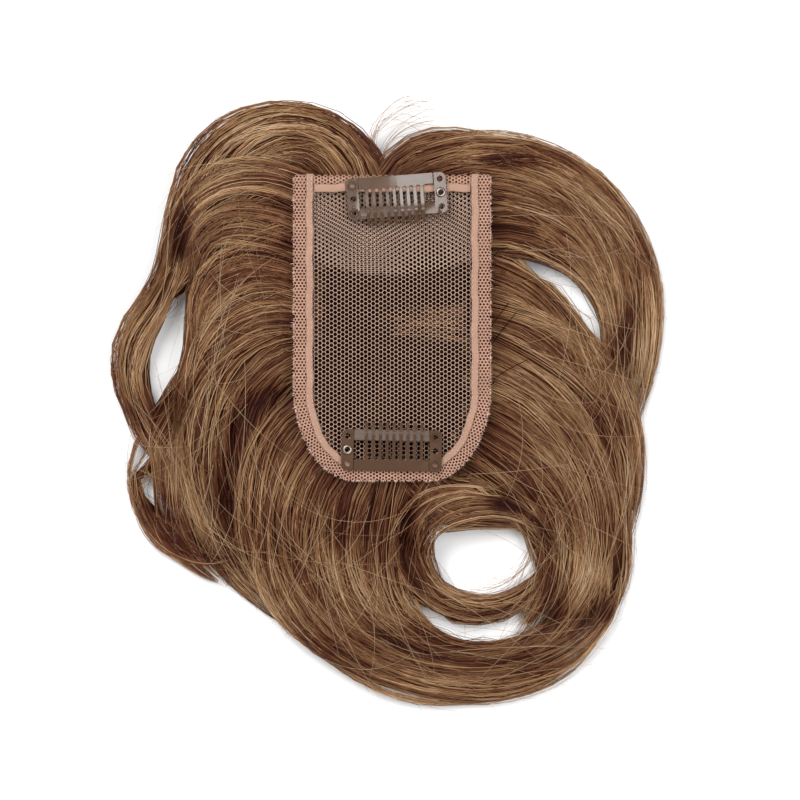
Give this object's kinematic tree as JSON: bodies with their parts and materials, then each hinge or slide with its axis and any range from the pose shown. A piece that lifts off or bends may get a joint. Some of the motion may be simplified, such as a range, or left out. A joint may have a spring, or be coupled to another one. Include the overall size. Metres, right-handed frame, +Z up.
{
  "type": "hair topper",
  "caption": "Clip-in hair topper lying scalp side up: net base edged with hem and ribbon, snap combs at front and back, wavy hair curled round it.",
  "frame": {"origin": "on the table, under the middle of the spread hair", "axes": "+Z up from the table towards the scalp side, +Y from the back clip to the front clip, +X to the right of the base seen from above"},
  "size_m": [0.176, 0.1936, 0.0225],
  "materials": {
    "hair": "soft sheen",
    "net": "matt",
    "hem": "matt",
    "ribbon": "matt",
    "clip_steel": "satin brown",
    "eyelet": "polished"
  },
  "bodies": {
    "topper": {"hair": "hair", "net_patch": "net", "base_net": "net", "hem_sides": "hem", "hem_top": "hem", "side_ribbon": "ribbon", "top_ribbon": "ribbon", "front_clip_frame": "clip_steel", "front_clip_eyelet": "eyelet", "back_clip_frame": "clip_steel", "back_clip_eyelet": "eyelet"},
    "front_comb": {"front_clip_comb": "clip_steel"},
    "back_comb": {"back_clip_comb": "clip_steel"}
  },
  "joints": [
    {"name": "front_comb_snap", "type": "hinge", "parent": "topper", "child": "front_comb", "pos_m": [0.00219, 0.07238, 0.021], "axis": [-0.9969, -0.0785, 0], "range_deg": [0, 30]},
    {"name": "back_comb_snap", "type": "hinge", "parent": "topper", "child": "back_comb", "pos_m": [0.00098, -0.02142, 0.021], "axis": [0.9998, -0.0174, 0], "range_deg": [0, 30]}
  ]
}
